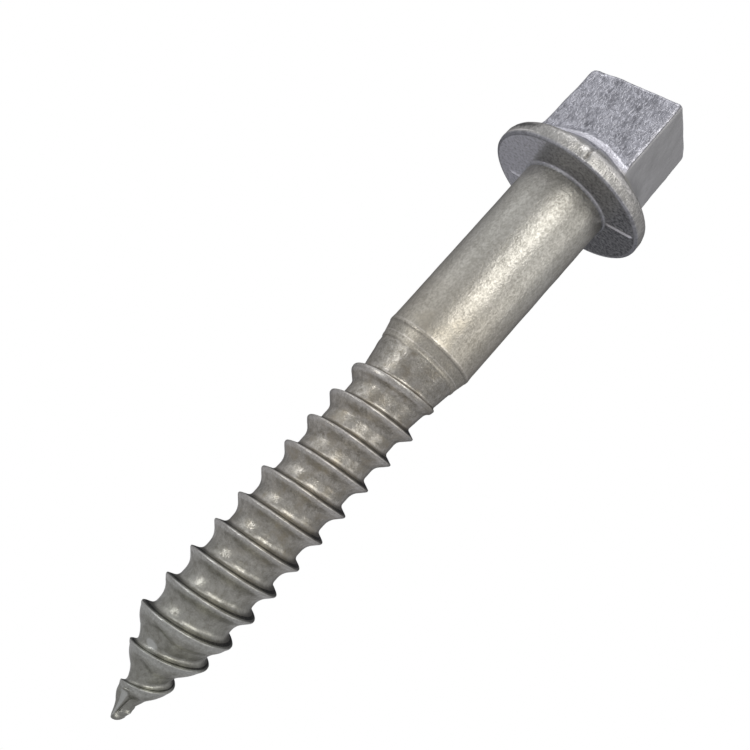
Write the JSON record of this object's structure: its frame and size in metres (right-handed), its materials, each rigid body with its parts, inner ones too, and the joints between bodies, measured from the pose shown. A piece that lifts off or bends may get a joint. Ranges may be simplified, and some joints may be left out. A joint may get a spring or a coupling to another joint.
{
  "type": "rail screw spike",
  "caption": "Forged steel rail screw spike with a rectangular drive head, a round collar, a plain shank and a coarse wood thread with a gimlet point.",
  "frame": {"origin": "centre of the collar's flat bearing face, on the spike's axis", "axes": "+Z along the axis towards the head, -Z the driving direction, +X across the head's two narrow flats, +Y across its two wide flats"},
  "size_m": [0.044, 0.044, 0.1952],
  "materials": {
    "forged_head": "satin, forged and shot-blasted",
    "shank_steel": "satin",
    "thread_steel": "rolled, satin"
  },
  "bodies": {
    "root": {"drive_head": "forged_head", "collar": "forged_head", "shank": "shank_steel", "neck": "shank_steel", "thread": "thread_steel", "gimlet_point": "thread_steel"}
  },
  "joints": []
}
